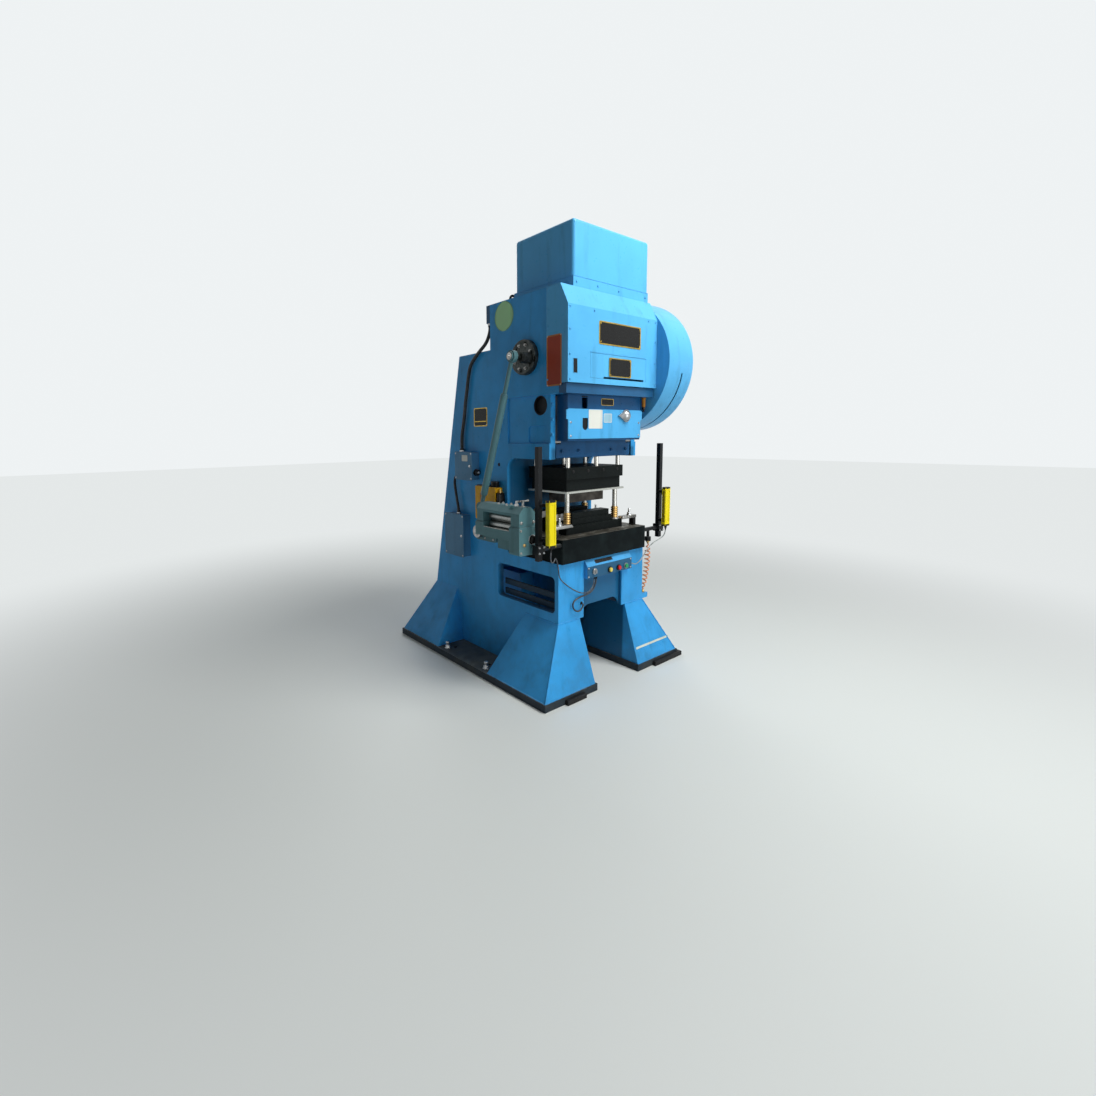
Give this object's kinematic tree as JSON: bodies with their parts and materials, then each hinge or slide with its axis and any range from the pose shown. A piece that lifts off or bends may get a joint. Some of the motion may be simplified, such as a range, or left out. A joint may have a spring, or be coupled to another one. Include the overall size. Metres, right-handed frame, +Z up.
{
  "type": "c-frame crank press",
  "caption": "Gap-frame crank stamping press with flywheel guard, crank-driven roll feeder, die set, light curtains and control box on flared feet.",
  "frame": {"origin": "on the floor, in the middle of the four anchor bolt holes", "axes": "+X to the press's right (flywheel side), +Y from the operator's side to the back, +Z up"},
  "size_m": [1.427, 1.7299, 2.848],
  "materials": {
    "machine_blue": "gloss enamel, a little dusty",
    "light_blue": "satin enamel",
    "black_oxide": "oiled black oxide",
    "ground_steel": "ground, oiled",
    "die_steel": "milled, oiled",
    "chrome": "polished",
    "bronze": "turned",
    "grey_green": "satin enamel",
    "belt_rubber": "matte",
    "black_plastic": "matte",
    "curtain_yellow": "satin powder coat",
    "unit_orange": "satin enamel",
    "yellow_plastic": "gloss",
    "red_plastic": "gloss",
    "green_plastic": "gloss",
    "grey_rubber": "matte",
    "hose_orange": "satin"
  },
  "bodies": {
    "frame": {"air_hose": "hose_orange", "base_rails": "machine_blue", "bed_front_panel": "machine_blue", "bolster": "black_oxide", "conduits": "black_plastic", "control_box": "machine_blue", "control_cable": "black_plastic", "crown_box": "machine_blue", "crown_front_cover": "machine_blue", "curtain_stands": "black_oxide", "drive_belt": "belt_rubber", "drive_motor": "machine_blue", "feeder_body": "grey_green", "feeder_yoke": "grey_green", "flywheel_guard": "machine_blue", "front_feet": "machine_blue", "guide_posts": "ground_steel", "junction_boxes": "machine_blue", "left_curtain_cable": "grey_rubber", "left_side_plate": "machine_blue", "levelling_blocks": "black_oxide", "light_curtains": "curtain_yellow", "lower_die_block": "die_steel", "lower_die_shoe": "die_steel", "lubrication_unit": "unit_orange", "main_bushes": "bronze", "post_springs": "bronze", "rear_feet": "machine_blue", "rear_plate": "machine_blue", "right_curtain_cable": "grey_rubber", "right_side_plate": "machine_blue", "roof_base": "machine_blue", "roof_hood": "machine_blue", "slide_cover": "light_blue", "slide_gibs": "die_steel", "slide_housing": "machine_blue", "table_plate": "machine_blue", "throat_plate": "machine_blue"},
    "crankshaft": {"crankshaft": "die_steel", "clutch_unit": "black_oxide", "feed_disc": "black_oxide"},
    "connecting_rod": {"connecting_rod": "black_oxide", "ball_screw": "die_steel"},
    "feed_rod": {"feed_rod": "grey_green"},
    "slide": {"slide": "machine_blue", "upper_die_shoe": "die_steel", "punch_plate": "ground_steel", "die_risers": "die_steel"},
    "flywheel": {"flywheel": "black_oxide"},
    "drive_pulley": {"drive_pulley": "black_oxide"},
    "cover_hatch": {"cover_hatch": "machine_blue"},
    "cover_knob": {"cover_knob": "chrome"},
    "yellow_button": {"yellow_button": "yellow_plastic"},
    "red_button": {"red_button": "red_plastic"},
    "green_button": {"green_button": "green_plastic"},
    "selector_switch": {"selector_switch": "black_plastic"},
    "feeder_arm": {"feeder_arm": "die_steel"},
    "lower_feed_roll": {"lower_feed_roll": "ground_steel"},
    "upper_feed_roll": {"upper_feed_roll": "ground_steel"},
    "feeder_tee": {"feeder_tee": "chrome"}
  },
  "joints": [
    {"name": "crank_turn", "type": "hinge", "parent": "frame", "child": "crankshaft", "pos_m": [0, -0.44, 2.078], "axis": [1, 0, 0], "continuous": true},
    {"name": "rod_swing", "type": "hinge", "parent": "crankshaft", "child": "connecting_rod", "pos_m": [0, -0.44, 2.108], "axis": [1, 0, 0], "continuous": true},
    {"name": "feed_rod_swing", "type": "hinge", "parent": "crankshaft", "child": "feed_rod", "pos_m": [-0.585, -0.495, 2.066], "axis": [1, 0, 0], "continuous": true},
    {"name": "slide_stroke", "type": "slide", "parent": "frame", "child": "slide", "axis": [0, 0, 1], "range_m": [-0.06, 0]},
    {"name": "flywheel_turn", "type": "hinge", "parent": "frame", "child": "flywheel", "pos_m": [0.545, -0.44, 2.078], "axis": [1, 0, 0], "continuous": true},
    {"name": "pulley_turn", "type": "hinge", "parent": "frame", "child": "drive_pulley", "pos_m": [0.545, 0.16, 2.33], "axis": [1, 0, 0], "continuous": true},
    {"name": "hatch_lift", "type": "hinge", "parent": "frame", "child": "cover_hatch", "pos_m": [0.038, -0.796, 2.0847], "axis": [-1, 0, 0], "range_deg": [0, 100]},
    {"name": "knob_turn", "type": "hinge", "parent": "frame", "child": "cover_knob", "pos_m": [0.187, -0.731, 1.716], "axis": [0, -1, 0], "range_deg": [0, 90]},
    {"name": "arm_swing", "type": "hinge", "parent": "frame", "child": "feeder_arm", "pos_m": [-0.5495, -0.083, 0.95], "axis": [1, 0, 0], "range_deg": [-15, 15]},
    {"name": "lower_roll_turn", "type": "hinge", "parent": "frame", "child": "lower_feed_roll", "pos_m": [-0.628, -0.468, 1.041], "axis": [0, 1, 0], "continuous": true},
    {"name": "upper_roll_turn", "type": "hinge", "parent": "frame", "child": "upper_feed_roll", "pos_m": [-0.628, -0.468, 1.0955], "axis": [0, 1, 0], "continuous": true},
    {"name": "tee_turn", "type": "hinge", "parent": "frame", "child": "feeder_tee", "pos_m": [-0.628, -0.632, 1.1783], "axis": [0, 0, 1], "range_deg": [-180, 180]},
    {"name": "selector_turn", "type": "hinge", "parent": "frame", "child": "selector_switch", "pos_m": [-0.126, -0.75, 0.73], "axis": [0, 1, 0], "range_deg": [-45, 45]},
    {"name": "yellow_press", "type": "slide", "parent": "frame", "child": "yellow_button", "axis": [0, 1, 0], "range_m": [0, 0.005], "stiffness_N_per_m": 600},
    {"name": "red_press", "type": "slide", "parent": "frame", "child": "red_button", "axis": [0, 1, 0], "range_m": [0, 0.005], "stiffness_N_per_m": 600},
    {"name": "green_press", "type": "slide", "parent": "frame", "child": "green_button", "axis": [0, 1, 0], "range_m": [0, 0.005], "stiffness_N_per_m": 600}
  ],
  "couplings": [
    {"joint": "rod_swing", "follows": "crank_turn", "ratio": -1},
    {"joint": "feed_rod_swing", "follows": "crank_turn", "ratio": -1},
    {"joint": "pulley_turn", "follows": "flywheel_turn", "ratio": 5.4},
    {"joint": "upper_roll_turn", "follows": "lower_roll_turn", "ratio": -1}
  ]
}
